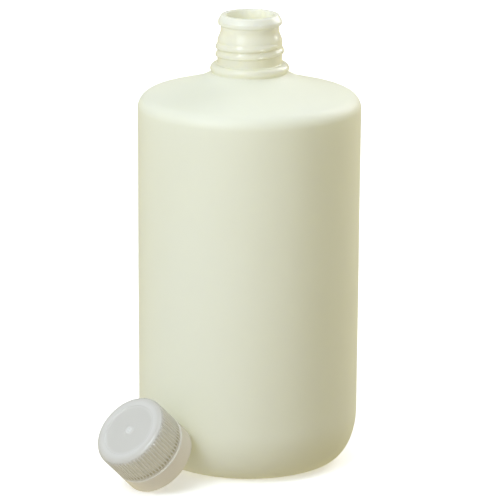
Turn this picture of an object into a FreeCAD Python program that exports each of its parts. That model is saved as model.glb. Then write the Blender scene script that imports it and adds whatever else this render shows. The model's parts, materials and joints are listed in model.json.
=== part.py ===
import FreeCAD, Part
import math
import os

# Two-litre narrow-mouth reagent bottle with its screw closure off and leaning on the wall.
# Millimetres, +Z up. The origin is the middle of the foot ring, on the bench.

V = FreeCAD.Vector
AXIS_Z = V(0, 0, 1)

# --- bottle body -------------------------------------------------------------------------
BODY_R_TOP = 60.45          # where the wall meets the shoulder
BODY_R_LOW = 59.65          # where the wall meets the base corner, so the mould has draft
WALL = 1.8
BASE_CORNER_W = 17.0        # the base corner is a quarter ellipse, taller than it is wide
BASE_CORNER_H = 28.5
BASE_WALL = 2.4
PUSH_UP = 4.0               # rise of the base inside the foot ring
FOOT_RING_IN = 39.5         # inner radius of the foot ring
FOOT_RING_STEP = 1.2
SHOULDER_Z = 196.2          # where the wall ends
SHOULDER_CORNER_R = 8.0
SHOULDER_SLOPE = math.radians(15.4)
SHOULDER_SWEEP_IN = 37.0    # radius where the straight cone turns up into the neck
SHOULDER_SWEEP_R = 64.0

# --- neck, a 38-430 screw finish ----------------------------------------------------------
HEIGHT = 247.5
ROOT_R = 17.38              # E / 2
CREST_R = 18.45             # T / 2
PITCH = 25.4 / 6
BORE_R = 13.0
BORE_LENGTH = 10.0
THROAT_R = 14.9             # inside of the neck below the calibrated bore
NECK_FOOT_R = 20.68
COLLAR_R = 21.3             # transfer bead round the foot of the neck
COLLAR_BEAD_R = 2.65
COLLAR_Z = 218.1
WAIST_R = 15.65
WAIST_Z = 239.4
WAIST_FLARE = 0.4           # how far the waist opens again below the lip
ROOT_TOP_Z = 233.2
LIP_R = 17.2
LIP_LOW_Z = 242.1
LIP_HIGH_Z = 244.3
LIP_UNDER_ROUND = 0.7
LAND_R = 14.9               # outer edge of the flat sealing land
LAND_ROUND_W = 0.55         # the land rolls over into the bevel
LAND_ROUND_H = 0.45
LAND_TURN_SHARE = 0.55      # how far out the middle of that round is
THROAT_RAMP = 1.6           # height of the step from throat to bore, for each mm of radius
EDGE_R = 0.4
COLLAR_FILLET_SHARE = 0.6   # of the step from the collar bead in to the neck's root
ARC_MID = 1 - math.sqrt(0.5)  # how far a quarter arc's middle is from its corner's two sides
BOW_MID = 0.26              # how far an S-curve's quarter point has drawn in

# --- neck thread: one start, right hand ---------------------------------------------------
THREAD_REF_Z = 224.9        # lower edge of the crest at THREAD_REF_DEG on the first turn
THREAD_REF_DEG = 180.0
THREAD_FROM_DEG = 105.0
THREAD_TO_DEG = 705.0
THREAD_FADE_DEG = 50.0
THREAD_BED = 0.7            # how far the thread is rooted in the wall
THREAD_FLANK = 0.35
THREAD_CREST = 1.7
THREAD_RAMP = 3.1
THREAD_CREST_DROP = 0.15
THREAD_BURY = 0.05          # how far below the wall a faded thread's crest ends up
THREAD_STEP_DEG = 30.0      # between the sections of a thread's loft

# --- closure, in its own frame: open rim at z = 0, top panel up ------------------------------
CAP_R = 21.16
CAP_H = 30.0
CAP_BORE_R = 19.05
CAP_LEAD_R = 19.75
CAP_LEAD_H = 1.3
CAP_RIM_EDGE = 0.5
CAP_TOP_ROUND = 3.0
CAP_PANEL = 1.8
SKIRT_H = 10.6              # smooth band below the ribs
SKIRT_EDGE = 0.35
GROOVE_R = 20.4             # bottom of the valleys between ribs
RIB_TIP_R = 21.05
RIB_COUNT = 66
RIB_SHARE = 0.56            # share of each pitch taken up by the rib
RIB_FROM = 11.4
RIB_END_ROUND = 0.7
RECESS_R = 15.2
RECESS_DEPTH = 0.4
GATE_RING_R = 2.9
GATE_RING_W = 0.7
GATE_RING_H = 0.25
GATE_NIB_R = 0.75
GATE_NIB_H = 0.45
GATE_ROOT = 0.1             # how far the gate's marks are rooted in the panel
CAP_THREAD_TIP_R = 17.8
CAP_THREAD_FROM = 2.6
CAP_THREAD_TURNS = 1.9
CAP_THREAD_W = 1.9
CAP_THREAD_TIP_W = 0.7

# --- liner disc ------------------------------------------------------------------------------
LINER_R = 18.6
LINER_T = 1.3
LINER_GAP = 0.1
LINER_BEAD_R = 18.3         # the closure's retaining bead, just smaller than the disc
LINER_BEAD_H = 0.6
LINER_EDGE = 0.2

# --- where the closure leans ------------------------------------------------------------------
LEAN_TILT = 47.0            # of the closure's axis from upright
LEAN_BEARING = -136.3       # direction in plan that its top points to, from +X towards +Y
REST_BEARING = -130.1       # direction in plan of its open rim's middle from the bottle's axis
LEAN_GAP = 0.25             # left between its rim and the bottle's wall


def xz(r, z):
    return V(r, 0, z)


def at_angle(radius, turn, z):
    return V(radius * math.cos(turn), radius * math.sin(turn), z)


def line(a, b):
    return Part.makeLine(a, b)


def arc(a, mid, b):
    return Part.Arc(a, mid, b).toShape()


def arc_about(centre, radius, from_deg, to_deg):
    """Circular arc in the XZ half-plane, angles measured from +X towards +Z."""
    def at(deg):
        turn = math.radians(deg)
        return centre + xz(radius * math.cos(turn), radius * math.sin(turn))
    return arc(at(from_deg), at((from_deg + to_deg) / 2), at(to_deg))


def quarter_ellipse(centre_r, centre_z, half_w, half_h):
    """Lower outer quarter of an ellipse, from its lowest point to its widest point."""
    centre = xz(centre_r, centre_z)
    low = centre - xz(0, half_h)
    wide = centre + xz(half_w, 0)
    curve = Part.Ellipse(low, wide, centre)
    return Part.ArcOfEllipse(curve, curve.parameter(low), curve.parameter(wide)).toShape()


def turned(edges):
    """Solid of revolution about Z from the closed outline that the edges make."""
    wire = Part.Wire(Part.__sortEdges__(edges))
    return Part.Face(wire).revolve(V(0, 0, 0), AXIS_Z, 360)


def slope_point(radius, tangent_deg):
    """Offset from an arc's centre to its point where the outline has the given slope."""
    turn = math.radians(tangent_deg)
    return xz(radius * math.sin(turn), radius * math.cos(turn))


# --- bottle ----------------------------------------------------------------------------------

def shoulder_edges(inset):
    """Shoulder outline from the wall up to the neck foot, moved inwards by inset."""
    corner = xz(BODY_R_TOP - SHOULDER_CORNER_R, SHOULDER_Z)
    corner_r = SHOULDER_CORNER_R - inset
    wall_end = corner + xz(corner_r, 0)
    slope_deg = math.degrees(SHOULDER_SLOPE)
    cone_start = corner + slope_point(corner_r, slope_deg)
    bend = corner + slope_point(corner_r, (90 + slope_deg) / 2)
    outer_cone = corner + slope_point(SHOULDER_CORNER_R, slope_deg)
    run = outer_cone.x - SHOULDER_SWEEP_IN
    sweep_low = xz(SHOULDER_SWEEP_IN, outer_cone.z + run * math.tan(SHOULDER_SLOPE))
    sweep_centre = sweep_low + slope_point(SHOULDER_SWEEP_R, slope_deg)
    sweep_r = SHOULDER_SWEEP_R + inset
    foot_r = NECK_FOOT_R - inset
    foot_deg = math.degrees(math.asin((sweep_centre.x - foot_r) / sweep_r))
    mid_deg = (slope_deg + foot_deg) / 2
    cone_end = sweep_centre - slope_point(sweep_r, slope_deg)
    sweep_mid = sweep_centre - slope_point(sweep_r, mid_deg)
    foot = sweep_centre - slope_point(sweep_r, foot_deg)
    edges = [
        arc(wall_end, bend, cone_start),
        line(cone_start, cone_end),
        arc(cone_end, sweep_mid, foot),
    ]
    return edges, wall_end, foot


def neck_edges(foot):
    """Outside of the neck from its foot, over the collar bead and waist, to the land."""
    bead = xz(COLLAR_R - COLLAR_BEAD_R, COLLAR_Z)
    low_deg = -math.degrees(math.acos((foot.x - bead.x) / COLLAR_BEAD_R))
    bead_low = xz(foot.x, bead.z + COLLAR_BEAD_R * math.sin(math.radians(low_deg)))
    bead_top = bead + xz(0, COLLAR_BEAD_R)
    fillet = (bead_top.x - ROOT_R) * COLLAR_FILLET_SHARE
    root_low = xz(ROOT_R, bead_top.z + fillet)
    fillet_start = xz(ROOT_R + fillet, bead_top.z)
    fillet_mid = xz(ROOT_R + fillet * ARC_MID, bead_top.z + fillet * ARC_MID)
    root_top = xz(ROOT_R, ROOT_TOP_Z)
    waist = xz(WAIST_R, WAIST_Z)
    half_r = (ROOT_R - WAIST_R) / 2
    half_z = (WAIST_Z - ROOT_TOP_Z) / 2
    middle = xz(WAIST_R + half_r, ROOT_TOP_Z + half_z)
    upper_bow = xz(ROOT_R - half_r * BOW_MID, ROOT_TOP_Z + half_z / 2)
    lower_bow = xz(WAIST_R + half_r * BOW_MID, WAIST_Z - half_z / 2)
    under_lip = xz(WAIST_R + WAIST_FLARE, LIP_LOW_Z)
    waist_bow = xz(WAIST_R + WAIST_FLARE / 4, (WAIST_Z + LIP_LOW_Z) / 2)
    lip_under = xz(LIP_R - LIP_UNDER_ROUND, LIP_LOW_Z)
    lip_bow = LIP_UNDER_ROUND * ARC_MID
    lip_turn = xz(LIP_R - lip_bow, LIP_LOW_Z + lip_bow)
    lip_low = xz(LIP_R, LIP_LOW_Z + LIP_UNDER_ROUND)
    lip_high = xz(LIP_R, LIP_HIGH_Z)
    bevel_top = xz(LAND_R + LAND_ROUND_W, HEIGHT - LAND_ROUND_H)
    land_turn = xz(LAND_R + LAND_ROUND_W * LAND_TURN_SHARE, HEIGHT - LAND_ROUND_H * ARC_MID)
    land = xz(LAND_R, HEIGHT)
    return [
        line(foot, bead_low),
        arc_about(bead, COLLAR_BEAD_R, low_deg, 90),
        line(bead_top, fillet_start),
        arc(fillet_start, fillet_mid, root_low),
        line(root_low, root_top),
        arc(root_top, upper_bow, middle),
        arc(middle, lower_bow, waist),
        arc(waist, waist_bow, under_lip),
        line(under_lip, lip_under),
        arc(lip_under, lip_turn, lip_low),
        line(lip_low, lip_high),
        line(lip_high, bevel_top),
        arc(bevel_top, land_turn, land),
    ]


def bottle_outside():
    ring_out = xz(BODY_R_LOW - BASE_CORNER_W, 0)
    ring_in = xz(FOOT_RING_IN, 0)
    ring_step = xz(FOOT_RING_IN - FOOT_RING_STEP, FOOT_RING_STEP)
    dome = xz(0, PUSH_UP)
    dome_mid = xz(FOOT_RING_IN / 2, (PUSH_UP * 3 + FOOT_RING_STEP) / 4)
    wall_low = xz(BODY_R_LOW, BASE_CORNER_H)
    shoulder, wall_top, foot = shoulder_edges(0)
    land = xz(LAND_R, HEIGHT)
    top = xz(0, HEIGHT)
    edges = [
        arc(dome, dome_mid, ring_step),
        line(ring_step, ring_in),
        line(ring_in, ring_out),
        quarter_ellipse(ring_out.x, BASE_CORNER_H, BASE_CORNER_W, BASE_CORNER_H),
        line(wall_low, wall_top),
    ]
    edges += shoulder
    edges += neck_edges(foot)
    edges += [line(land, top), line(top, dome)]
    return turned(edges)


def bottle_inside():
    floor_r = FOOT_RING_IN - FOOT_RING_STEP
    floor = xz(0, PUSH_UP + BASE_WALL)
    floor_edge = xz(floor_r, FOOT_RING_STEP + BASE_WALL)
    floor_mid = xz(FOOT_RING_IN / 2, (PUSH_UP * 3 + FOOT_RING_STEP) / 4 + BASE_WALL)
    corner_w = BASE_CORNER_W - WALL
    corner_h = BASE_CORNER_H - BASE_WALL
    corner_r = BODY_R_LOW - BASE_CORNER_W
    corner_low = xz(corner_r, BASE_WALL)
    wall_low = xz(BODY_R_LOW - WALL, BASE_CORNER_H)
    shoulder, wall_top, foot = shoulder_edges(WALL)
    throat_low = xz(THROAT_R, foot.z + (foot.x - THROAT_R))
    bore_low_z = HEIGHT - BORE_LENGTH
    throat_top = xz(THROAT_R, bore_low_z - (THROAT_R - BORE_R) * THROAT_RAMP)
    bore_low = xz(BORE_R, bore_low_z)
    bore_top = xz(BORE_R, HEIGHT - EDGE_R)
    mouth = xz(BORE_R + EDGE_R, HEIGHT)
    mouth_mid = xz(BORE_R + EDGE_R * ARC_MID, HEIGHT - EDGE_R * ARC_MID)
    above = xz(BORE_R + EDGE_R, HEIGHT + EDGE_R)
    above_axis = xz(0, HEIGHT + EDGE_R)
    edges = [
        arc(floor, floor_mid, floor_edge),
        line(floor_edge, corner_low),
        quarter_ellipse(corner_r, BASE_CORNER_H, corner_w, corner_h),
        line(wall_low, wall_top),
    ]
    edges += shoulder
    edges += [
        line(foot, throat_low),
        line(throat_low, throat_top),
        line(throat_top, bore_low),
        line(bore_low, bore_top),
        arc(bore_top, mouth_mid, mouth),
        line(mouth, above),
        line(above, above_axis),
        line(above_axis, floor),
    ]
    return turned(edges)


def helical_ridge(section, from_deg, to_deg, low_z, sink, fade_deg):
    """Ridge lofted along a helix. Its section moves radially by sink where it fades out."""
    count = int(round((to_deg - from_deg) / THREAD_STEP_DEG))
    wires = []
    for i in range(count + 1):
        deg = from_deg + (to_deg - from_deg) * i / count
        fade = max(0.0, 1.0 - min(deg - from_deg, to_deg - deg) / fade_deg)
        shift = sink * fade * fade * (3 - 2 * fade)
        turn = math.radians(deg)
        z = low_z + PITCH * (deg - from_deg) / 360
        points = [at_angle(r + shift, turn, z + up) for r, up in section]
        wires.append(Part.makePolygon(points + points[:1]))
    return Part.makeLoft(wires, True, False)


def neck_thread():
    crest_top = CREST_R - THREAD_CREST_DROP
    section = [
        (ROOT_R - THREAD_BED, -THREAD_FLANK),
        (ROOT_R, -THREAD_FLANK),
        (CREST_R, 0.0),
        (crest_top, THREAD_CREST),
        (ROOT_R, THREAD_RAMP),
        (ROOT_R - THREAD_BED, THREAD_RAMP),
    ]
    low_z = THREAD_REF_Z + PITCH * (THREAD_FROM_DEG - THREAD_REF_DEG) / 360
    sink = ROOT_R - CREST_R - THREAD_BURY
    return helical_ridge(section, THREAD_FROM_DEG, THREAD_TO_DEG, low_z, sink, THREAD_FADE_DEG)


def bottle():
    shell = bottle_outside().cut(bottle_inside())
    return shell.fuse(neck_thread()).removeSplitter()


# --- closure -----------------------------------------------------------------------------------

def cap_envelope():
    """Outline of the closure over the rib tips, with the step down from the skirt."""
    rim_out = xz(CAP_R, CAP_RIM_EDGE)
    rim_low = xz(CAP_R - CAP_RIM_EDGE, 0)
    skirt_top = xz(CAP_R, SKIRT_H - SKIRT_EDGE)
    skirt_in = xz(CAP_R - SKIRT_EDGE, SKIRT_H)
    ledge = xz(GROOVE_R, SKIRT_H)
    rib_low = xz(GROOVE_R, RIB_FROM)
    rib_full = xz(RIB_TIP_R, RIB_FROM + RIB_END_ROUND)
    rib_mid_r = RIB_TIP_R - (RIB_TIP_R - GROOVE_R) * ARC_MID
    rib_bow = xz(rib_mid_r, RIB_FROM + RIB_END_ROUND * ARC_MID)
    round_centre = xz(RIB_TIP_R - CAP_TOP_ROUND, CAP_H - CAP_TOP_ROUND)
    side_top = round_centre + xz(CAP_TOP_ROUND, 0)
    top_edge = round_centre + xz(0, CAP_TOP_ROUND)
    edges = [
        line(xz(0, 0), rim_low),
        line(rim_low, rim_out),
        line(rim_out, skirt_top),
        line(skirt_top, skirt_in),
        line(skirt_in, ledge),
        line(ledge, rib_low),
        arc(rib_low, rib_bow, rib_full),
        line(rib_full, side_top),
        arc_about(round_centre, CAP_TOP_ROUND, 0, 90),
        line(top_edge, xz(0, CAP_H)),
        line(xz(0, CAP_H), xz(0, 0)),
    ]
    return turned(edges)


def ribbed_bar():
    """Upright bar whose section has one rounded rib per pitch and a plain valley between."""
    pitch = 2 * math.pi / RIB_COUNT
    half_rib = pitch * RIB_SHARE / 2
    edges = []
    for i in range(RIB_COUNT):
        middle = i * pitch
        rise = at_angle(GROOVE_R, middle - half_rib, RIB_FROM)
        tip = at_angle(RIB_TIP_R, middle, RIB_FROM)
        fall = at_angle(GROOVE_R, middle + half_rib, RIB_FROM)
        valley = at_angle(GROOVE_R, middle + pitch / 2, RIB_FROM)
        next_rise = at_angle(GROOVE_R, middle + pitch - half_rib, RIB_FROM)
        edges.append(arc(rise, tip, fall))
        edges.append(arc(fall, valley, next_rise))
    face = Part.Face(Part.Wire(edges))
    return face.extrude(V(0, 0, CAP_H - RIB_FROM))


def cap_hollow():
    """Room inside the closure: lead-in, threaded bore, liner seat behind a small bead."""
    seat_top = CAP_H - CAP_PANEL
    bead_top = seat_top - LINER_T - 2 * LINER_GAP
    bead_low = bead_top - LINER_BEAD_H
    edges = [
        line(xz(0, -1), xz(CAP_LEAD_R, -1)),
        line(xz(CAP_LEAD_R, -1), xz(CAP_LEAD_R, 0)),
        line(xz(CAP_LEAD_R, 0), xz(CAP_BORE_R, CAP_LEAD_H)),
        line(xz(CAP_BORE_R, CAP_LEAD_H), xz(CAP_BORE_R, bead_low - LINER_BEAD_H)),
        line(xz(CAP_BORE_R, bead_low - LINER_BEAD_H), xz(LINER_BEAD_R, bead_low)),
        line(xz(LINER_BEAD_R, bead_low), xz(LINER_BEAD_R, bead_top)),
        line(xz(LINER_BEAD_R, bead_top), xz(CAP_BORE_R, bead_top)),
        line(xz(CAP_BORE_R, bead_top), xz(CAP_BORE_R, seat_top)),
        line(xz(CAP_BORE_R, seat_top), xz(0, seat_top)),
        line(xz(0, seat_top), xz(0, -1)),
    ]
    return turned(edges)


def cap_thread():
    half_root = CAP_THREAD_W / 2
    half_tip = CAP_THREAD_TIP_W / 2
    section = [
        (CAP_BORE_R + THREAD_BED, -half_root),
        (CAP_BORE_R, -half_root),
        (CAP_THREAD_TIP_R, -half_tip),
        (CAP_THREAD_TIP_R, half_tip),
        (CAP_BORE_R, half_root),
        (CAP_BORE_R + THREAD_BED, half_root),
    ]
    to_deg = 360 * CAP_THREAD_TURNS
    sink = CAP_BORE_R - CAP_THREAD_TIP_R + THREAD_BURY
    return helical_ridge(section, 0.0, to_deg, CAP_THREAD_FROM, sink, THREAD_FADE_DEG)


def disc(radius, low, high):
    return Part.makeCylinder(radius, high - low, V(0, 0, low))


def closure_upright():
    below = disc(CAP_R + 1, -1, RIB_FROM)
    outside = cap_envelope().common(ribbed_bar().fuse(below))
    floor = CAP_H - RECESS_DEPTH
    cap = outside.cut(cap_hollow())
    cap = cap.cut(disc(RECESS_R, floor, CAP_H + 1))
    rooted = floor - GATE_ROOT
    gate_ring = disc(GATE_RING_R, rooted, floor + GATE_RING_H)
    gate_ring = gate_ring.cut(disc(GATE_RING_R - GATE_RING_W, rooted - 1, CAP_H))
    gate_nib = disc(GATE_NIB_R, rooted, floor + GATE_NIB_H)
    return cap.fuse([gate_ring, gate_nib, cap_thread()]).removeSplitter()


def liner_upright():
    top = CAP_H - CAP_PANEL - LINER_GAP
    plate = disc(LINER_R, top - LINER_T, top)
    return plate.makeChamfer(LINER_EDGE, [e for e in plate.Edges if e.Closed])


# --- leaning pose ---------------------------------------------------------------------------------

def closure_axis():
    tilt = math.radians(LEAN_TILT)
    bearing = math.radians(LEAN_BEARING)
    flat = math.sin(tilt)
    return V(flat * math.cos(bearing), flat * math.sin(bearing), math.cos(tilt))


def wall_radius(z):
    """Outer radius of the bottle at a height up to the shoulder."""
    if z < BASE_CORNER_H:
        down = (BASE_CORNER_H - z) / BASE_CORNER_H
        return BODY_R_LOW - BASE_CORNER_W * (1 - math.sqrt(max(0.0, 1 - down * down)))
    share = (z - BASE_CORNER_H) / (SHOULDER_Z - BASE_CORNER_H)
    return BODY_R_LOW + (BODY_R_TOP - BODY_R_LOW) * share


def rim_points(centre):
    """Points round the closure's rim, on its widest circle just above the edge chamfer."""
    axis = closure_axis()
    side = axis.cross(AXIS_Z).normalize()
    rise = side.cross(axis)
    middle = centre + axis * CAP_RIM_EDGE
    count = 360
    turns = [2 * math.pi * i / count for i in range(count)]
    return [middle + side * (CAP_R * math.cos(t)) + rise * (CAP_R * math.sin(t)) for t in turns]


def rest_height():
    """Height of the rim's middle that puts the closure's lowest point on the bench."""
    tilt = math.radians(LEAN_TILT)
    chamfer_top = CAP_R * math.sin(tilt) - CAP_RIM_EDGE * math.cos(tilt)
    chamfer_low = (CAP_R - CAP_RIM_EDGE) * math.sin(tilt)
    return max(chamfer_top, chamfer_low)


def rest_point():
    """Middle of the rim, moved out along its bearing until the rim just clears the wall."""
    bearing = math.radians(REST_BEARING)
    away = V(math.cos(bearing), math.sin(bearing), 0)
    height = V(0, 0, rest_height())
    near = 0.0
    far = 2 * BODY_R_TOP
    for _ in range(40):
        distance = (near + far) / 2
        points = rim_points(away * distance + height)
        gap = min(math.hypot(p.x, p.y) - wall_radius(p.z) for p in points)
        if gap > LEAN_GAP:
            far = distance
        else:
            near = distance
    return away * far + height


def leaning(shape):
    turn = FreeCAD.Rotation(AXIS_Z, closure_axis())
    placed = shape.copy()
    placed.Placement = FreeCAD.Placement(rest_point(), turn)
    return placed


def save(name, shape):
    shape.exportStep("parts/" + name + ".step")


os.makedirs("parts", exist_ok=True)
save("bottle", bottle())
save("closure", leaning(closure_upright()))
save("liner", leaning(liner_upright()))
print("closure axis", closure_axis(), "rim middle", rest_point())
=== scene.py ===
import json
import math

import bpy
import numpy as np
from mathutils import Matrix, Vector


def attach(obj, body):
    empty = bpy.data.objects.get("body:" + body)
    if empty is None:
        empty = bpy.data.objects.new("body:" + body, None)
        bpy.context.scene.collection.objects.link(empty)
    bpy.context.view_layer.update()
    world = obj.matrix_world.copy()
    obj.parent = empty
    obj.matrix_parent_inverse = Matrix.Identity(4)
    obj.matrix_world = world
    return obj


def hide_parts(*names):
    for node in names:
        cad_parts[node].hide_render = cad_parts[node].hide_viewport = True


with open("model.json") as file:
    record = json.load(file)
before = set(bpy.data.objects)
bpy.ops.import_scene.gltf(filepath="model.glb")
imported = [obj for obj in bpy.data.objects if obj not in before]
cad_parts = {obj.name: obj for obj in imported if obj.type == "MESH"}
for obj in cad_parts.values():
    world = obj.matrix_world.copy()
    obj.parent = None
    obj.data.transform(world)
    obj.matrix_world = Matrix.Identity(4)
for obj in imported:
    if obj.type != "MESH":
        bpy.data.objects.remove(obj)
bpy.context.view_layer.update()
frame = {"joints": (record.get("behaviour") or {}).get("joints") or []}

# Reagent bottle, its screw closure and the closure's liner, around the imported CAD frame.
# Outlines below are in millimetres, as (radius, height) pairs; meshes are stored in metres.

MM = 0.001


# --- outlines ----------------------------------------------------------------------------

def arc(centre, radius, start, end, count):
    """Points on a circular arc; angles are in degrees from the radial direction upwards."""
    turns = np.radians(np.linspace(start, end, count))
    return [(centre[0] + radius * math.cos(t), centre[1] + radius * math.sin(t)) for t in turns]


def ellipse(centre, half_r, half_z, count):
    """Lower outer quarter of an ellipse, from its lowest point out to its widest."""
    turns = np.linspace(-math.pi / 2, 0, count)
    return [(centre[0] + half_r * math.cos(t), centre[1] + half_z * math.sin(t)) for t in turns]


def s_curve(top, low, count):
    """Smooth run between two upright tangents, such as a neck drawing in to its waist."""
    points = []
    for t in np.linspace(0, 1, count):
        ease = t * t * (3 - 2 * t)
        points.append((top[0] + (low[0] - top[0]) * ease, top[1] + (low[1] - top[1]) * t))
    return points


def spread(points, step):
    """The same outline with points added so that none are further apart than step."""
    out = [points[0]]
    for a, b in zip(points, points[1:]):
        length = math.dist(a, b)
        if length < 1e-6:
            continue
        count = max(1, math.ceil(length / step))
        for i in range(1, count + 1):
            out.append((a[0] + (b[0] - a[0]) * i / count, a[1] + (b[1] - a[1]) * i / count))
    return out


# --- turned meshes -----------------------------------------------------------------------

def turned_mesh(name, radius, height, turns, local_to_frame):
    """Closed mesh from a grid of radii and heights (rows run along the outline, columns round
    the axis). The first and last rows lie on the axis and become single points."""
    rows, columns = radius.shape
    x = radius * np.cos(turns)[None, :]
    y = radius * np.sin(turns)[None, :]
    grid = np.stack([x, y, height], axis=-1)
    first = grid[0].mean(axis=0)
    last = grid[-1].mean(axis=0)
    local = np.concatenate([grid[1:-1].reshape(-1, 3), [first], [last]])
    count = rows - 2
    faces = []
    column = np.arange(columns)
    beside = (column + 1) % columns
    for row in range(count - 1):
        low = row * columns
        high = low + columns
        faces.append(np.stack([low + column, low + beside, high + beside, high + column], axis=1))
    quads = np.concatenate(faces)
    start = count * columns
    end = start + 1
    lid = (count - 1) * columns
    fans = [(start, int(beside[c]), int(c)) for c in column]
    fans += [(end, int(lid + c), int(lid + beside[c])) for c in column]
    mesh = bpy.data.meshes.new(name)
    turn = np.array(local_to_frame.to_3x3())
    shift = np.array(local_to_frame.translation)
    placed = (local * MM) @ turn.T + shift
    mesh.from_pydata(placed.tolist(), [], quads.tolist() + fans)
    mesh.polygons.foreach_set("use_smooth", np.ones(len(mesh.polygons), bool))
    own = mesh.attributes.new("own_place", "FLOAT_VECTOR", "POINT")
    own.data.foreach_set("vector", local.astype(np.float32).ravel())
    mesh.validate()
    mesh.update()
    piece = bpy.data.objects.new(name, mesh)
    bpy.context.scene.collection.objects.link(piece)
    return piece


def smooth_step(low, high, value):
    """0 up to low, 1 from high on, and eased between them."""
    t = np.clip((value - low) / (high - low), 0, 1)
    return t * t * (3 - 2 * t)


def ridge_radius(above, section):
    """Radius of a screw ridge at a height above its reference edge; far below zero off it."""
    heights, radii = zip(*section)
    inside = (above >= heights[0]) & (above <= heights[-1])
    return np.where(inside, np.interp(above, heights, radii), -1e3)


# --- bottle ------------------------------------------------------------------------------

BODY_R_TOP, BODY_R_LOW, WALL = 60.45, 59.65, 1.8
BASE_CORNER_W, BASE_CORNER_H, BASE_WALL = 17.0, 28.5, 2.4
PUSH_UP, FOOT_RING_IN, FOOT_RING_STEP = 4.0, 39.5, 1.2
SHOULDER_Z, SHOULDER_CORNER_R, SHOULDER_SLOPE = 196.2, 8.0, 15.4
SWEEP_IN, SWEEP_R = 37.0, 64.0
TOP_Z, ROOT_R, CREST_R, PITCH = 247.5, 17.38, 18.45, 25.4 / 6
BORE_R, BORE_LENGTH, THROAT_R, NECK_FOOT_R = 13.0, 10.0, 14.9, 20.68
BORE_EDGE, THROAT_RAMP = 0.4, 1.6
COLLAR_R, COLLAR_BEAD_R, COLLAR_Z, COLLAR_FILLET_SHARE = 21.3, 2.65, 218.1, 0.6
WAIST_R, WAIST_Z, WAIST_ROUND, ROOT_TOP_Z = 15.65, 239.4, 0.9, 233.2
LIP_R, LIP_LOW_Z, LIP_HIGH_Z, LIP_UNDER_ROUND, LIP_EDGE = 17.2, 242.1, 244.3, 0.7, 0.35
LAND_R, LAND_ROUND = 14.9, 0.9
THREAD_Z, THREAD_DEG, THREAD_FROM, THREAD_TO, THREAD_FADE = 224.9, 180.0, 105.0, 705.0, 50.0
BLOWN_DEPTH = 0.055             # scale of the blown wall's hollows
SEAM_RISE, SEAM_HALF_W = 0.09, 0.26
PINCH_RISE, PINCH_HALF_W = 0.55, 0.55


def shoulder(inset):
    """Shoulder from the wall up to the foot of the neck, moved inwards by inset."""
    corner = (BODY_R_TOP - SHOULDER_CORNER_R, SHOULDER_Z)
    slope = math.radians(SHOULDER_SLOPE)
    outer = arc(corner, SHOULDER_CORNER_R, 0, 90 - SHOULDER_SLOPE, 2)[-1]
    low = (SWEEP_IN, outer[1] + (outer[0] - SWEEP_IN) * math.tan(slope))
    centre = (low[0] + SWEEP_R * math.sin(slope), low[1] + SWEEP_R * math.cos(slope))
    sweep_r = SWEEP_R + inset
    foot_r = NECK_FOOT_R - inset
    foot_deg = math.degrees(math.asin((centre[0] - foot_r) / sweep_r))
    points = arc(corner, SHOULDER_CORNER_R - inset, 0, 90 - SHOULDER_SLOPE, 26)
    points += arc(centre, sweep_r, 270 - SHOULDER_SLOPE, 270 - foot_deg, 34)
    return points


def neck(foot):
    """Neck from the collar bead, through root and waist, up to the sealing land."""
    bead = (COLLAR_R - COLLAR_BEAD_R, COLLAR_Z)
    low_deg = -math.degrees(math.acos((foot[0] - bead[0]) / COLLAR_BEAD_R))
    top_z = COLLAR_Z + COLLAR_BEAD_R
    fillet = (bead[0] - ROOT_R) * COLLAR_FILLET_SHARE
    points = arc(bead, COLLAR_BEAD_R, low_deg, 90, 26)
    points += arc((ROOT_R + fillet, top_z + fillet), fillet, 270, 180, 8)
    points += spread([points[-1], (ROOT_R, ROOT_TOP_Z)], 0.22)[1:]
    points += s_curve((ROOT_R, ROOT_TOP_Z), (WAIST_R, WAIST_Z), 30)[1:]
    points += arc((WAIST_R + WAIST_ROUND, WAIST_Z + 1.8), WAIST_ROUND, 180, 90, 8)
    under = (LIP_R - LIP_UNDER_ROUND, LIP_LOW_Z + LIP_UNDER_ROUND)
    points += arc(under, LIP_UNDER_ROUND, 270, 360, 9)
    points += arc((LIP_R - LIP_EDGE, LIP_HIGH_Z - 0.1), LIP_EDGE, 0, 35, 5)
    points += arc((LAND_R, TOP_Z - LAND_ROUND), LAND_ROUND, 40, 90, 9)
    return points


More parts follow.
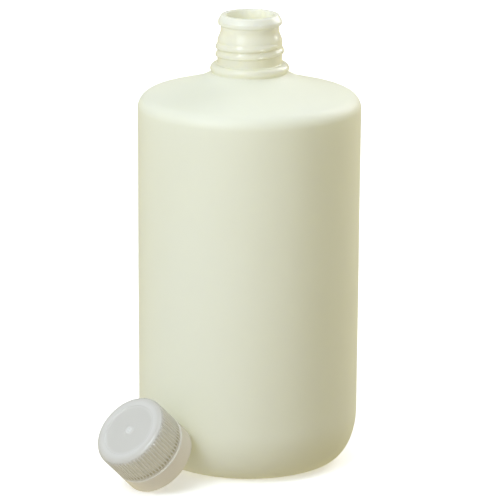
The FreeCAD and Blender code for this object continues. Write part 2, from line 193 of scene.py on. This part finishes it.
def bottle_outline():
    """Outside from the middle of the base to the land, then inside back to the floor."""
    step_r = FOOT_RING_IN - FOOT_RING_STEP
    rise = PUSH_UP - FOOT_RING_STEP
    base = [(r, PUSH_UP - rise * (r / step_r) ** 2) for r in np.linspace(0, step_r, 60)]
    ring_out = BODY_R_LOW - BASE_CORNER_W
    base += arc((FOOT_RING_IN + 0.6, 0.6), 0.6, 205, 270, 7)
    base += ellipse((ring_out, BASE_CORNER_H), BASE_CORNER_W, BASE_CORNER_H, 60)
    wall = spread([(BODY_R_LOW, BASE_CORNER_H), (BODY_R_TOP, SHOULDER_Z)], 4.0)
    outer_shoulder = shoulder(0)
    outside = base + wall[1:] + outer_shoulder[1:] + neck(outer_shoulder[-1])

    inner_shoulder = shoulder(WALL)
    foot = inner_shoulder[-1]
    bore_low = TOP_Z - BORE_LENGTH
    throat_top = bore_low - (THROAT_R - BORE_R) * THROAT_RAMP
    inside = arc((BORE_R + BORE_EDGE, TOP_Z - BORE_EDGE), BORE_EDGE, 90, 180, 7)
    inside += spread([inside[-1], (BORE_R, bore_low)], 2.0)[1:]
    inside += s_curve((BORE_R, bore_low), (THROAT_R, throat_top), 12)[1:]
    inside += spread([inside[-1], (THROAT_R, foot[1] + foot[0] - THROAT_R), foot], 2.0)[1:]
    inside += inner_shoulder[-2::-1]
    inner_wall = [(BODY_R_TOP - WALL, SHOULDER_Z), (BODY_R_LOW - WALL, BASE_CORNER_H)]
    inside += spread(inner_wall, 8.0)[1:]
    half_r, half_z = BASE_CORNER_W - WALL, BASE_CORNER_H - BASE_WALL
    inside += ellipse((ring_out, BASE_CORNER_H), half_r, half_z, 40)[-2::-1]
    floor_z = PUSH_UP + BASE_WALL
    inside += [(r, floor_z - rise * (r / step_r) ** 2) for r in np.linspace(step_r, 0, 30)]
    return outside, inside


def seam_turns(count, near_seam):
    """Even turns round the axis, with more beside the two mould seams at 0 and 180 degrees."""
    even = np.linspace(0, 360, count, endpoint=False)
    extra = [side + sign * step for side in (0, 180) for sign in (-1, 1) for step in near_seam]
    return np.radians(np.unique(np.round(np.concatenate([even, np.array(extra) % 360]), 4)))


def bottle_grid():
    """Radii and heights all round the bottle, with its uneven wall, thread and seams."""
    outside, inside = bottle_outline()
    outline = np.array(outside + inside)
    turns = seam_turns(240, (0.1, 0.2, 0.32, 0.46, 0.65, 0.9, 1.2))
    radius = np.repeat(outline[:, :1], len(turns), axis=1)
    height = np.repeat(outline[:, 1:], len(turns), axis=1)
    is_out = np.zeros(len(outline), bool)
    is_out[:len(outside)] = True
    is_out = is_out[:, None]
    angle = turns[None, :]

    # The blown wall is never quite round: broad hollows, the deepest under a quarter millimetre.
    wave = np.sin(2 * angle + height / 41) * np.sin(height / 29 + 0.6)
    wave += 0.7 * np.sin(3 * angle - height / 57 + 1.1) * np.cos(height / 37)
    wave += 0.5 * np.sin(5 * angle + 0.4) * np.sin(height / 18 + angle)
    blown = smooth_step(2, 30, height) * (1 - smooth_step(196, 212, height))
    radius = radius - BLOWN_DEPTH * (wave + 2.2) * blown * is_out

    # Screw thread, one start, with its two ends sunk back into the neck.
    section = ((-0.42, ROOT_R - 0.1), (-0.3, ROOT_R + 0.12), (-0.05, CREST_R - 0.1),
               (0.1, CREST_R), (1.5, CREST_R - 0.1), (1.85, CREST_R - 0.26),
               (3.1, ROOT_R), (4.2, ROOT_R - 0.6))
    for whole in range(-1, 3):
        deg = np.degrees(angle) + 360 * whole
        above = height - (THREAD_Z + PITCH * (deg - THREAD_DEG) / 360)
        left = np.minimum(deg - THREAD_FROM, THREAD_TO - deg)
        sunk = 1 - smooth_step(0, THREAD_FADE, left)
        ridge = ridge_radius(above, section) - (CREST_R - ROOT_R + 0.05) * sunk
        on_thread = is_out & (left > 0) & (height > COLLAR_Z + 3)
        radius = np.where(on_thread, np.maximum(radius, ridge), radius)

    # Mould seam down both sides, and the pinched-off seam across the base.
    off_seam = np.abs(np.sin(angle)) * radius
    raised = is_out & (height > 1.5) & (height < LIP_LOW_Z)
    ridge = SEAM_RISE * np.exp(-(off_seam / SEAM_HALF_W) ** 2)
    radius = radius + raised * ridge * smooth_step(3, 12, height)
    reach = 1 - smooth_step(25, 33, radius)
    pinch = PINCH_RISE * np.exp(-(off_seam / PINCH_HALF_W) ** 2) * reach
    under = is_out & (height < PUSH_UP + 0.1)
    height = height - np.where(under & (radius < 36), pinch, 0)
    radius[0], radius[-1] = 0, 0
    return radius, height, turns


# --- closure -----------------------------------------------------------------------------

CAP_R, CAP_H, CAP_BORE_R = 21.16, 30.0, 19.05
CAP_LEAD_R, CAP_LEAD_H, RIM_EDGE = 19.75, 1.3, 0.5
TOP_ROUND, CAP_PANEL, SKIRT_H = 3.0, 1.8, 10.6
SKIRT_EDGE, SKIRT_FILLET = 0.35, 0.2
GROOVE_R, RIB_TIP_R, RIB_COUNT, RIB_FROM, RIB_END_ROUND = 20.4, 21.05, 66, 11.4, 0.7
RIB_SHARE = 0.56                # share of each pitch taken up by the rib
RECESS_R, RECESS_DEPTH = 15.2, 0.4
GATE_RING_R, GATE_RING_W, GATE_RING_H = 2.9, 0.7, 0.25
GATE_NIB = ((0, 0.45), (0.3, 0.44), (0.55, 0.36), (0.72, 0.2), (0.78, 0.04), (0.95, 0))
CAP_THREAD_TIP_R, CAP_THREAD_Z, CAP_THREAD_DEG = 17.8, 2.6, 684.0
LINER_R, LINER_T, LINER_GAP = 18.6, 1.3, 0.1
LINER_BEAD_R, LINER_BEAD_H, LINER_EDGE = 18.3, 0.6, 0.2
LAND_DENT = ((13.3, 0.02), (13.6, 0.1), (14.1, 0.14), (14.6, 0.1), (14.9, 0.02))


def closure_outline():
    """Outside from the middle of the top down to the rim, then inside back up."""
    floor = CAP_H - RECESS_DEPTH
    ring_in = GATE_RING_R - GATE_RING_W
    top = [(r, floor + up) for r, up in GATE_NIB]
    top += [(1.6, floor), (ring_in - 0.1, floor)]
    top += [(ring_in + 0.04, floor + 0.06), (ring_in + 0.16, floor + GATE_RING_H)]
    top += [(GATE_RING_R - 0.16, floor + GATE_RING_H), (GATE_RING_R - 0.04, floor + 0.06)]
    top += spread([(GATE_RING_R + 0.1, floor), (RECESS_R - 0.25, floor)], 1.0)
    top += [(RECESS_R - 0.06, floor + 0.05), (RECESS_R + 0.06, CAP_H - 0.06)]
    top += spread([(RECESS_R + 0.25, CAP_H), (RIB_TIP_R - TOP_ROUND, CAP_H)], 0.5)
    round_centre = (RIB_TIP_R - TOP_ROUND, CAP_H - TOP_ROUND)
    side = arc(round_centre, TOP_ROUND, 88, 0, 26)
    side += spread([(RIB_TIP_R, round_centre[1]), (RIB_TIP_R, RIB_FROM + 0.75)], 1.2)[1:]
    rib_end = (RIB_TIP_R - RIB_END_ROUND, RIB_FROM + RIB_END_ROUND)
    side += arc(rib_end, RIB_END_ROUND, 0, -86, 8)[1:]
    side += [(GROOVE_R, RIB_FROM), (GROOVE_R, SKIRT_H + 0.25)]
    side += arc((GROOVE_R + SKIRT_FILLET, SKIRT_H + SKIRT_FILLET), SKIRT_FILLET, 180, 270, 4)
    side += arc((CAP_R - SKIRT_EDGE, SKIRT_H - SKIRT_EDGE), SKIRT_EDGE, 90, 0, 6)
    side += spread([side[-1], (CAP_R, RIM_EDGE)], 1.2)[1:]
    side += [(CAP_R - 0.12, RIM_EDGE - 0.13), (CAP_R - RIM_EDGE + 0.12, 0.11)]
    side += [(CAP_R - RIM_EDGE - 0.03, 0.0)]
    seat_top = CAP_H - CAP_PANEL
    bead_top = seat_top - LINER_T - 2 * LINER_GAP
    bead_low = bead_top - LINER_BEAD_H
    inside = [(CAP_LEAD_R + 0.15, 0.0), (CAP_LEAD_R, 0.08), (CAP_BORE_R, CAP_LEAD_H)]
    inside += spread([inside[-1], (CAP_BORE_R, bead_low - LINER_BEAD_H)], 0.25)[1:]
    inside += [(LINER_BEAD_R + 0.1, bead_low - 0.1), (LINER_BEAD_R, bead_low + 0.1)]
    inside += [(LINER_BEAD_R, bead_top - 0.12), (LINER_BEAD_R + 0.12, bead_top)]
    inside += [(CAP_BORE_R - 0.1, bead_top), (CAP_BORE_R, bead_top + 0.1)]
    inside += [(CAP_BORE_R, seat_top - 0.2), (CAP_BORE_R - 0.2, seat_top)]
    inside += spread([inside[-1], (0, seat_top)], 3.0)[1:]
    return top, side, inside


def rib_turns():
    """Turns round the closure, closer together on each rib than in the valley beside it."""
    within = np.array([-0.28, -0.24, -0.17, -0.09, 0, 0.09, 0.17, 0.24, 0.28, 0.39, 0.5, 0.61])
    pitch = 2 * math.pi / RIB_COUNT
    return np.concatenate([(i + within) * pitch for i in range(RIB_COUNT)])


def closure_grid():
    """Radii and heights all round the closure, with its ribs and internal thread."""
    top, side, inside = closure_outline()
    outline = np.array(top + side + inside)
    turns = rib_turns()
    radius = np.repeat(outline[:, :1], len(turns), axis=1)
    height = np.repeat(outline[:, 1:], len(turns), axis=1)
    row = np.arange(len(outline))[:, None]
    on_side = (row >= len(top)) & (row < len(top) + len(side))
    pitch = 2 * math.pi / RIB_COUNT
    off = np.abs((turns / pitch + 0.5) % 1 - 0.5) / (RIB_SHARE / 2)
    bar = GROOVE_R + (RIB_TIP_R - GROOVE_R) * np.sqrt(np.clip(1 - off ** 2, 0, 1))
    ribbed = on_side & (height >= RIB_FROM - 0.01)
    radius = np.where(ribbed, np.minimum(radius, bar[None, :]), radius)

    is_in = row >= len(top) + len(side)
    section = ((-0.95, CAP_BORE_R + 0.1), (-0.45, CAP_THREAD_TIP_R + 0.1),
               (-0.25, CAP_THREAD_TIP_R), (0.25, CAP_THREAD_TIP_R),
               (0.45, CAP_THREAD_TIP_R + 0.1), (0.95, CAP_BORE_R + 0.1))
    for whole in range(0, 2):
        deg = np.degrees(turns)[None, :] % 360 + 360 * whole
        above = height - (CAP_THREAD_Z + PITCH * deg / 360)
        left = np.minimum(deg, CAP_THREAD_DEG - deg)
        sunk = 1 - smooth_step(0, THREAD_FADE, left)
        heights, radii = zip(*section)
        on_ridge = is_in & (left > 0) & (above > heights[0]) & (above < heights[-1])
        ridge = np.interp(above, heights, radii) + (CAP_BORE_R - CAP_THREAD_TIP_R + 0.05) * sunk
        radius = np.where(on_ridge, np.minimum(radius, ridge), radius)
    radius[0], radius[-1] = 0, 0
    # The outline runs down the outside, so its rows are turned over to face outwards.
    return radius[::-1], height[::-1], turns


# --- liner -------------------------------------------------------------------------------

def liner_grid():
    """Foamed disc with the shallow ring that the bottle's land presses into its face."""
    high = CAP_H - CAP_PANEL - LINER_GAP
    low = high - LINER_T
    edge_r = LINER_R - LINER_EDGE
    face = spread([(0, low), (13.0, low)], 1.0)
    face += [(r, low + up) for r, up in LAND_DENT]
    face += spread([(15.2, low), (edge_r, low)], 0.8)
    edge = arc((edge_r, low + LINER_EDGE), LINER_EDGE, -90, 0, 5)[1:]
    edge += spread([edge[-1], (LINER_R, high - LINER_EDGE)], 0.3)[1:]
    edge += arc((edge_r, high - LINER_EDGE), LINER_EDGE, 0, 90, 5)[1:]
    back = spread([edge[-1], (0, high)], 1.5)[1:]
    outline = np.array(face + edge + back)
    turns = np.linspace(0, 2 * math.pi, 180, endpoint=False)
    radius = np.repeat(outline[:, :1], len(turns), axis=1)
    height = np.repeat(outline[:, 1:], len(turns), axis=1)
    return radius, height, turns


# --- materials ---------------------------------------------------------------------------

# Colours are linear. FACE is what the surface scatters back and THROUGH is what the wall lets
# out on its far side; SHARE is the part of the light that goes through.
BOTTLE_FACE = ((0.915, 0.935, 0.955), (0.905, 0.925, 0.94))
BOTTLE_CLOUD = (0.915, 0.935, 0.955)
BOTTLE_THROUGH = ((0.94, 0.923, 0.60), (0.935, 0.913, 0.56))
NECK_FACE = (0.90, 0.91, 0.95)
NECK_THROUGH = (0.95, 0.925, 0.64)
LIP_FACE = (0.875, 0.89, 0.92)
LIP_THROUGH = (0.945, 0.935, 0.75)
BODY_SHARE, NECK_SHARE, CAP_SHARE = 0.40, 0.45, 0.48
CAP_THIN = (0.962, 0.964, 0.955)
CAP_THICK = (0.955, 0.958, 0.95)
# Painted shade on the closure's top panel.
CAP_TOP_PAINTED_SHADE = (0.82, 0.81, 0.78)
# Paler ring on the panel, partly the liner seen through and partly a painted highlight; also the
# painted highlight on the rib ends.
CAP_PALE_RING_AND_HIGHLIGHT = (0.90, 0.895, 0.88)
# Painted highlight on the gate's nib.
CAP_NIB_HIGHLIGHT = (0.96, 0.96, 0.95)
# Painted shade in the valleys between the ribs.
CAP_VALLEY_SHADE = (0.915, 0.91, 0.86)
# Painted shade at the lower ends of the rib valleys.
CAP_RIB_END_SHADE = (0.60, 0.58, 0.44)
# Painted warm light on the skirt, standing in for light from the bottle.
CAP_SKIRT_BOUNCE_LIGHT = (0.975, 0.955, 0.91)
FOAM_CELL, FOAM_WALL = (0.78, 0.78, 0.75), (0.88, 0.88, 0.86)
COLLAR_FROM_Z, COLLAR_FULL_Z = 213.0, 219.0     # where the wall turns into the glossier neck
LIP_FROM_Z, LIP_FULL_Z = 238.5, 242.0


class Nodes:
    """A material's node tree, with short calls for the few kinds of node used here."""

    def __init__(self, name):
        self.material = bpy.data.materials.new(name)
        self.material.use_nodes = True
        self.tree = self.material.node_tree
        self.surface = self.tree.nodes["Principled BSDF"]

    def add(self, kind, **settings):
        made = self.tree.nodes.new(kind)
        for key, value in settings.items():
            setattr(made, key, value)
        return made

    def join(self, source, target):
        self.tree.links.new(source, target)

    def set(self, **values):
        for key, value in values.items():
            self.surface.inputs[key.replace("_", " ")].default_value = value

    def place(self):
        """The piece's own coordinates in millimetres, its axis along Z."""
        return self.add("ShaderNodeAttribute", attribute_name="own_place").outputs["Vector"]

    def noise(self, place, scale, detail=3.0, rough=0.5):
        made = self.add("ShaderNodeTexNoise")
        made.inputs["Scale"].default_value = scale
        made.inputs["Detail"].default_value = detail
        made.inputs["Roughness"].default_value = rough
        self.join(place, made.inputs["Vector"])
        return made.outputs["Fac"]

    def remap(self, value, low, high, to_low, to_high):
        made = self.add("ShaderNodeMapRange", interpolation_type="SMOOTHSTEP")
        self.join(value, made.inputs["Value"])
        made.inputs["From Min"].default_value = low
        made.inputs["From Max"].default_value = high
        made.inputs["To Min"].default_value = to_low
        made.inputs["To Max"].default_value = to_high
        return made.outputs["Result"]

    def math(self, operation, a, b=0.0):
        made = self.add("ShaderNodeMath", operation=operation)
        for socket, value in zip(made.inputs, (a, b)):
            if isinstance(value, (int, float)):
                socket.default_value = value
            else:
                self.join(value, socket)
        return made.outputs[0]

    def band(self, value, rise, full, fall, end, depth):
        """Depth between full and fall, and nothing below rise or past end."""
        up = self.remap(value, rise, full, 0.0, depth)
        return self.math("MULTIPLY", up, self.remap(value, fall, end, 1.0, 0.0))

    def blend(self, share, a, b):
        """Mix of two colours, each given as a linear triple or as a socket."""
        made = self.add("ShaderNodeMix", data_type="RGBA")
        self.join(share, made.inputs[0])
        for socket, value in zip((made.inputs[6], made.inputs[7]), (a, b)):
            if isinstance(value, tuple):
                socket.default_value = (*value, 1)
            else:
                self.join(value, socket)
        return made.outputs[2]

    def split(self, place):
        made = self.add("ShaderNodeSeparateXYZ")
        self.join(place, made.inputs[0])
        return made.outputs

    def let_through(self, share, colour):
        """Part of the light that meets the wall goes through it and comes out scattered."""
        through = self.add("ShaderNodeBsdfTranslucent")
        self.join(colour, through.inputs["Color"])
        both = self.add("ShaderNodeMixShader")
        if isinstance(share, float):
            both.inputs[0].default_value = share
        else:
            self.join(share, both.inputs[0])
        self.join(self.surface.outputs[0], both.inputs[1])
        self.join(through.outputs[0], both.inputs[2])
        self.join(both.outputs[0], self.tree.nodes["Material Output"].inputs["Surface"])

    def bump(self, height, distance, strength, under=None):
        made = self.add("ShaderNodeBump")
        made.inputs["Strength"].default_value = strength
        made.inputs["Distance"].default_value = distance
        self.join(height, made.inputs["Height"])
        if under is not None:
            self.join(under, made.inputs["Normal"])
        return made.outputs["Normal"]


def bottle_plastic():
    """Blow-moulded natural polyethylene: milky, faintly yellow-green, satin below the collar
    and glossier on the compression-moulded neck."""
    m = Nodes("natural_polyethylene")
    place = m.place()
    z = m.split(place)["Z"]
    broad = m.noise(place, 0.012, 2.0)
    cloud = m.noise(place, 0.07, 4.0, 0.6)
    thick = m.remap(broad, 0.35, 0.65, 0.0, 1.0)
    cloudy = m.remap(cloud, 0.3, 0.7, 0.0, 1.0)
    wall = m.blend(cloudy, m.blend(thick, *BOTTLE_FACE), BOTTLE_CLOUD)
    on_neck = m.remap(z, COLLAR_FROM_Z, COLLAR_FULL_Z, 0.0, 1.0)
    on_lip = m.remap(z, LIP_FROM_Z, LIP_FULL_Z, 0.0, 1.0)
    neck_face = m.blend(on_lip, NECK_FACE, LIP_FACE)
    neck_through = m.blend(on_lip, NECK_THROUGH, LIP_THROUGH)
    m.join(m.blend(on_neck, wall, neck_face), m.surface.inputs["Base Color"])
    through = m.blend(on_neck, m.blend(thick, *BOTTLE_THROUGH), neck_through)
    m.let_through(m.remap(on_neck, 0.0, 1.0, BODY_SHARE, NECK_SHARE), through)
    m.join(m.remap(on_neck, 0.0, 1.0, 0.0, 0.6), m.surface.inputs["Subsurface Weight"])
    satin = m.remap(m.noise(place, 0.25, 4.0, 0.6), 0.3, 0.7, 0.40, 0.50)
    gloss = m.remap(m.noise(place, 0.3, 3.0), 0.3, 0.7, 0.11, 0.16)
    rough = m.add("ShaderNodeMix", data_type="FLOAT")
    m.join(on_neck, rough.inputs[0])
    m.join(satin, rough.inputs[2])
    m.join(gloss, rough.inputs[3])
    m.join(rough.outputs[0], m.surface.inputs["Roughness"])
    grain = m.bump(m.noise(place, 2.6, 3.0, 0.65), 0.00004, 0.35)
    peel = m.bump(m.noise(place, 0.16, 2.0), 0.0003, 0.25, grain)
    m.join(peel, m.surface.inputs["Normal"])
    m.join(m.remap(on_neck, 0.0, 1.0, 0.0, 0.3), m.surface.inputs["Coat Weight"])
    m.set(IOR=1.52, Coat_Roughness=0.06, Subsurface_Radius=(1.0, 0.95, 0.8), Subsurface_Scale=0.003)
    return m.material


def closure_plastic():
    """Injection-moulded natural polypropylene: greyer and clearer than the bottle. Radii and
    heights are millimetres from the closure's axis and from its open rim."""
    m = Nodes("natural_polypropylene")
    place = m.place()
    parts = m.split(place)
    z = parts["Z"]
    x_square = m.math("MULTIPLY", parts["X"], parts["X"])
    y_square = m.math("MULTIPLY", parts["Y"], parts["Y"])
    radius = m.math("SQRT", m.math("ADD", x_square, y_square))
    cloud = m.noise(place, 0.16, 3.0, 0.5)
    tint = m.blend(m.remap(cloud, 0.3, 0.7, 0.0, 1.0), CAP_THIN, CAP_THICK)
    # Painted shade: the top panel is darkened, standing in for how the light falls on it.
    on_top = m.remap(z, 26.5, 29.4, 0.0, 1.0)
    tint = m.blend(on_top, tint, CAP_TOP_PAINTED_SHADE)
    # The panel gets a paler ring, partly the liner's seat showing through and partly a painted
    # highlight, and a painted highlight round the gate's nib.
    ring = m.math("MULTIPLY", m.band(radius, 13.2, 15.4, 16.6, 19.0, 0.8), on_top)
    tint = m.blend(ring, tint, CAP_PALE_RING_AND_HIGHLIGHT)
    # Painted highlight over the gate's nib and its ring.
    nib = m.math("MULTIPLY", m.remap(radius, 0.5, 3.6, 1.0, 0.0), on_top)
    tint = m.blend(nib, tint, CAP_NIB_HIGHLIGHT)
    # Painted shade darkens the valleys between the ribs, and more deeply at their lower ends; a
    # painted highlight lightens the ribs' rounded ends.
    beside = m.remap(radius, 20.42, 20.85, 1.0, 0.0)
    valley = m.math("MULTIPLY", beside, m.band(z, 11.0, 11.8, 26.0, 28.0, 0.9))
    tint = m.blend(valley, tint, CAP_VALLEY_SHADE)
    # Painted shade, deeper, at the lower ends of the valleys.
    end_shade = m.math("MULTIPLY", beside, m.band(z, 11.2, 11.5, 12.8, 15.0, 0.85))
    tint = m.blend(end_shade, tint, CAP_RIB_END_SHADE)
    # Painted highlight on the ribs' rounded lower ends.
    tint = m.blend(m.band(z, 11.3, 11.5, 12.0, 12.6, 0.8), tint, CAP_PALE_RING_AND_HIGHLIGHT)
    # Painted warm light on the skirt, standing in for light from the yellowish bottle.
    tint = m.blend(m.remap(z, 9.6, 11.2, 0.9, 0.0), tint, CAP_SKIRT_BOUNCE_LIGHT)
    m.join(tint, m.surface.inputs["Base Color"])
    m.let_through(CAP_SHARE, tint)
    gloss = m.remap(m.noise(place, 0.6, 4.0, 0.6), 0.3, 0.7, 0.12, 0.18)
    m.join(gloss, m.surface.inputs["Roughness"])
    grain = m.bump(m.noise(place, 3.0, 2.0), 0.00003, 0.12)
    m.join(grain, m.surface.inputs["Normal"])
    m.set(IOR=1.49, Coat_Weight=1.0, Coat_Roughness=0.07)
    return m.material


def liner_foam():
    """Closed-cell polyethylene foam: white, with fine cells and a satin skin."""
    m = Nodes("polyethylene_foam")
    place = m.place()
    cells = m.add("ShaderNodeTexVoronoi")
    cells.inputs["Scale"].default_value = 2.2
    m.join(place, cells.inputs["Vector"])
    cell = cells.outputs["Distance"]
    tint = m.blend(m.remap(cell, 0.0, 0.7, 0.0, 1.0), FOAM_CELL, FOAM_WALL)
    m.join(tint, m.surface.inputs["Base Color"])
    satin = m.remap(m.noise(place, 0.8, 3.0), 0.3, 0.7, 0.5, 0.65)
    m.join(satin, m.surface.inputs["Roughness"])
    m.join(m.bump(cell, 0.00005, 0.5), m.surface.inputs["Normal"])
    m.set(IOR=1.45, Subsurface_Weight=0.4, Subsurface_Scale=0.001)
    return m.material


# --- pieces ------------------------------------------------------------------------------

def closure_place():
    """Where the closure leans: its turning axis and the middle of its open rim."""
    turn = next(j for j in frame["joints"] if j["name"] == "closure_turn")
    axis = Vector(turn["axis"])
    lean = Vector((0, 0, 1)).rotation_difference(axis).to_matrix().to_4x4()
    return Matrix.Translation(Vector(turn["pos_m"])) @ lean


def finished(piece, material, body, node):
    """Dress a piece, tie it to its body and let it stand for its CAD node."""
    piece.data.materials.append(material)
    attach(piece, body)
    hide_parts(node)


bottle = turned_mesh("bottle_moulding", *bottle_grid(), Matrix.Identity(4))
finished(bottle, bottle_plastic(), "bottle_body", "bottle")

leaning = closure_place()
closure = turned_mesh("closure_moulding", *closure_grid(), leaning)
finished(closure, closure_plastic(), "closure_body", "closure")

liner = turned_mesh("liner_disc", *liner_grid(), leaning)
finished(liner, liner_foam(), "closure_carrier", "liner")


# --- floor, light and camera -------------------------------------------------------------

FLOOR_SIZE = 12
LIGHT_AIM = Vector((0, 0, 0.13))
LIGHT_AWAY = 1.5

# What the world lights the object with: left, right and behind it, high and low.
LEFT_HIGH = (0.50, 0.50, 0.50)
RIGHT_HIGH = (0.20, 0.20, 0.19)
BACK_HIGH = (0.66, 0.66, 0.67)
LEFT_LOW = (0.62, 0.61, 0.58)
RIGHT_LOW = (0.32, 0.24, 0.10)
BACK_LOW = (1.00, 0.90, 0.60)

CAMERA_AIM = Vector((0.000724, 0, 0.1166))
CAMERA_PITCH = 14.391
CAMERA_AWAY = 2.6
CAMERA_ROLL = 0.3256
CAMERA_LENS = 343.89


def make_floor():
    """White card that glows more the further it is from the object, so that it looks even.
    It is hidden from the rays that light the object, so its glow stays off the plastic."""
    bpy.ops.mesh.primitive_plane_add(size=FLOOR_SIZE, location=(0, 0, 0))
    floor = bpy.context.object
    floor.name = "floor"
    m = Nodes("floor_card")
    place = m.add("ShaderNodeTexCoord").outputs["Object"]
    shade = m.remap(m.noise(place, 6.0, 3.0), 0.3, 0.7, 0.0, 1.0)
    m.join(m.blend(shade, (0.93, 0.93, 0.925), (0.95, 0.95, 0.945)), m.surface.inputs["Base Color"])
    distance = m.add("ShaderNodeVectorMath", operation="LENGTH")
    m.join(place, distance.inputs[0])
    glow = m.remap(distance.outputs["Value"], 0.3, 1.8, 0.30, 0.62)
    m.join(glow, m.surface.inputs["Emission Strength"])
    m.set(Roughness=0.9, Specular_IOR_Level=0.1, Emission_Color=(1, 1, 1, 1))
    floor.data.materials.append(m.material)
    floor.visible_diffuse = False
    floor.visible_glossy = False
    floor.visible_transmission = False


def make_world():
    """White all round for the eye. What lights the object is a soft room: warm and bright low
    behind it, neutral to the left and dim to the right."""
    world = bpy.data.worlds.new("studio")
    world.use_nodes = True
    bpy.context.scene.world = world
    tree = world.node_tree
    tree.nodes.clear()
    link = tree.links.new

    def ramp(value, low, high):
        made = tree.nodes.new("ShaderNodeMapRange")
        made.interpolation_type = "SMOOTHSTEP"
        link(value, made.inputs["Value"])
        made.inputs["From Min"].default_value = low
        made.inputs["From Max"].default_value = high
        return made.outputs["Result"]

    def mix(share, *pair):
        made = tree.nodes.new("ShaderNodeMix")
        made.data_type = "RGBA"
        link(share, made.inputs[0])
        for socket, colour in zip((made.inputs[6], made.inputs[7]), pair):
            if isinstance(colour, tuple):
                socket.default_value = (*colour, 1)
            else:
                link(colour, socket)
        return made.outputs[2]

    parts = tree.nodes.new("ShaderNodeSeparateXYZ")
    link(tree.nodes.new("ShaderNodeTexCoord").outputs["Generated"], parts.inputs[0])
    right = ramp(parts.outputs["X"], -0.4, 0.4)
    behind = ramp(parts.outputs["Y"], -0.1, 0.3)
    above = ramp(parts.outputs["Z"], -0.25, 0.35)
    low = mix(behind, mix(right, LEFT_LOW, RIGHT_LOW), BACK_LOW)
    high = mix(behind, mix(right, LEFT_HIGH, RIGHT_HIGH), BACK_HIGH)
    lit = tree.nodes.new("ShaderNodeBackground")
    link(mix(above, low, high), lit.inputs["Color"])
    seen = tree.nodes.new("ShaderNodeBackground")
    seen.inputs["Color"].default_value = (1, 1, 1, 1)
    choice = tree.nodes.new("ShaderNodeMixShader")
    link(tree.nodes.new("ShaderNodeLightPath").outputs["Is Camera Ray"], choice.inputs[0])
    link(lit.outputs[0], choice.inputs[1])
    link(seen.outputs[0], choice.inputs[2])
    link(choice.outputs[0], tree.nodes.new("ShaderNodeOutputWorld").inputs["Surface"])


def soft_box(name, azimuth, elevation, size, power, colour=(1, 1, 1)):
    """Square area light that faces the bottle. Azimuth 0 is in front, positive to the right."""
    light = bpy.data.lights.new(name, "AREA")
    light.shape = "RECTANGLE"
    light.size = light.size_y = size
    light.energy = power
    light.color = colour
    made = bpy.data.objects.new(name, light)
    bpy.context.scene.collection.objects.link(made)
    a, e = math.radians(azimuth), math.radians(elevation)
    out = Vector((math.sin(a) * math.cos(e), -math.cos(a) * math.cos(e), math.sin(e)))
    made.location = LIGHT_AIM + out * LIGHT_AWAY
    made.rotation_mode = "QUATERNION"
    made.rotation_quaternion = out.to_track_quat("Z", "Y")
    made.visible_camera = False


def make_camera():
    """Camera at the photo's viewing angle, a long way off with a long lens."""
    data = bpy.data.cameras.new("camera")
    data.lens = CAMERA_LENS
    data.sensor_width = 36
    camera = bpy.data.objects.new("camera", data)
    bpy.context.scene.collection.objects.link(camera)
    pitch = math.radians(CAMERA_PITCH)
    back = Vector((0, -math.cos(pitch), math.sin(pitch)))
    right = Vector((1, 0, 0))
    up = back.cross(right)
    roll = math.radians(CAMERA_ROLL)
    turned_right = right * math.cos(roll) + up * math.sin(roll)
    turned_up = up * math.cos(roll) - right * math.sin(roll)
    basis = Matrix((turned_right, turned_up, back)).transposed().to_4x4()
    camera.matrix_world = Matrix.Translation(CAMERA_AIM + back * CAMERA_AWAY) @ basis
    bpy.context.scene.camera = camera


make_floor()
make_world()
soft_box("key", -35, 38, 0.9, 9.6, (0.80, 0.905, 1.0))
soft_box("key_core", -46, 44, 0.3, 3.0, (0.88, 0.95, 1.0))
soft_box("front_fill", -15, 15, 1.5, 5.6, (1.0, 0.97, 0.88))
soft_box("rim", 130, 30, 0.9, 13.0)
soft_box("top", 0, 80, 0.9, 4.0, (0.88, 0.95, 1.0))
soft_box("right_low", 38, -4, 0.22, 3.0)
make_camera()
scene = bpy.context.scene
scene.view_settings.view_transform = "Standard"
scene.cycles.max_bounces = 24
scene.cycles.diffuse_bounces = 16
